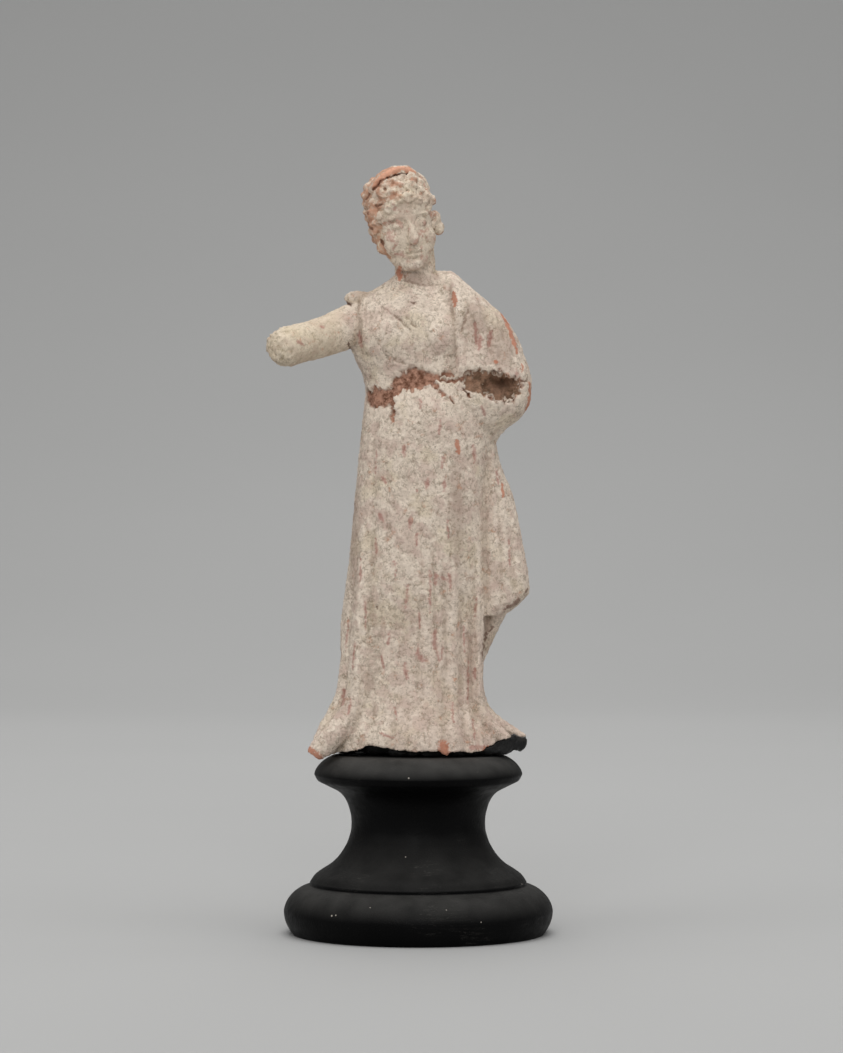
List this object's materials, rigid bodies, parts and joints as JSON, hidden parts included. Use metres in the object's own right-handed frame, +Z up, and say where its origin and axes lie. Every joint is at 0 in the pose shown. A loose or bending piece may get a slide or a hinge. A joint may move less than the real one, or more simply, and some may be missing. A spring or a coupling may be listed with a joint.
{
  "type": "standing female figurine",
  "caption": "Small mould-made terracotta figurine of a standing draped woman, broken at both arms, seated in black filler on a turned waisted black socle.",
  "frame": {"origin": "centre of the socle's flat underside", "axes": "+Z up through the head, -Y the way the figurine faces, +X towards her left hand side"},
  "size_m": [0.0704, 0.0672, 0.1911],
  "materials": {
    "slip_on_terracotta": "worn cream slip over fired orange clay, dry and matt",
    "black_filler": "black painted filler, uneven and slightly shiny",
    "black_paint": "turned wood under matt black paint with fine scratches"
  },
  "bodies": {
    "root": {"figurine": "slip_on_terracotta", "filler_bed": "black_filler", "socle": "black_paint"}
  },
  "joints": []
}
